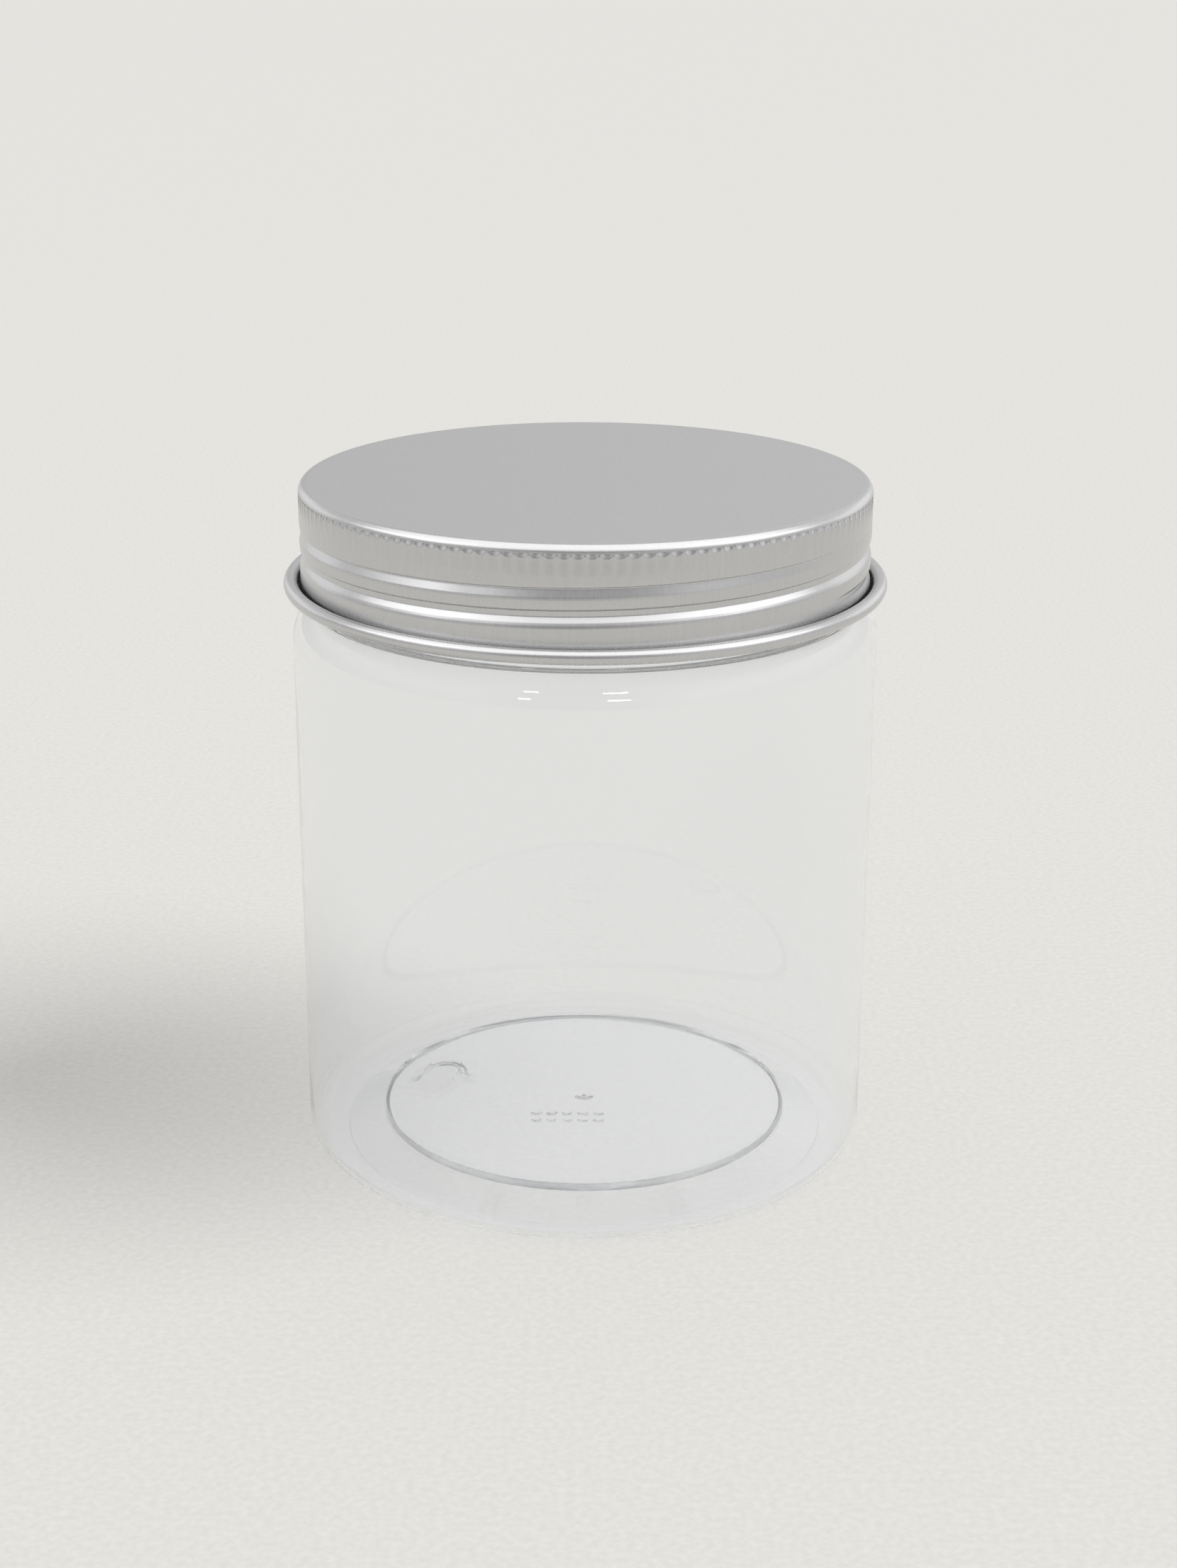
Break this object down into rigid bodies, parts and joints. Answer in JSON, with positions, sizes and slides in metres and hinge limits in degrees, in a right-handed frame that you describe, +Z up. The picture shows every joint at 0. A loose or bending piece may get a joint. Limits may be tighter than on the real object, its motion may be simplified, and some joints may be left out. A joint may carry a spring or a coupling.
{
  "type": "screw-top jar",
  "caption": "Empty clear plastic jar with a wide mouth and a screw-on aluminium lid lined with a foam disc, for candles, wax, salts or small goods.",
  "frame": {"origin": "centre of the floor plane under the jar, on the jar's axis", "axes": "+Z up along the jar's axis, -Y towards the front, +X to the right seen from the front"},
  "size_m": [0.0958, 0.0958, 0.1111],
  "materials": {
    "clear_pet": "clear, glossy",
    "satin_aluminium": "satin, natural aluminium",
    "white_foam": "matt foam with a smooth skin"
  },
  "bodies": {
    "jar": {"jar": "clear_pet"},
    "liner": {"liner": "white_foam"},
    "lid": {"lid_shell": "satin_aluminium"}
  },
  "joints": [
    {"name": "lid_rise", "type": "slide", "parent": "jar", "child": "liner", "axis": [0, 0, 1], "range_m": [0, 0.0168]},
    {"name": "lid_turn", "type": "hinge", "parent": "liner", "child": "lid", "pos_m": [0, 0, 0.1111], "axis": [0, 0, 1], "range_deg": [0, 1440]}
  ],
  "couplings": [
    {"joint": "lid_rise", "follows": "lid_turn", "m_per_rad": 0.00066845}
  ]
}
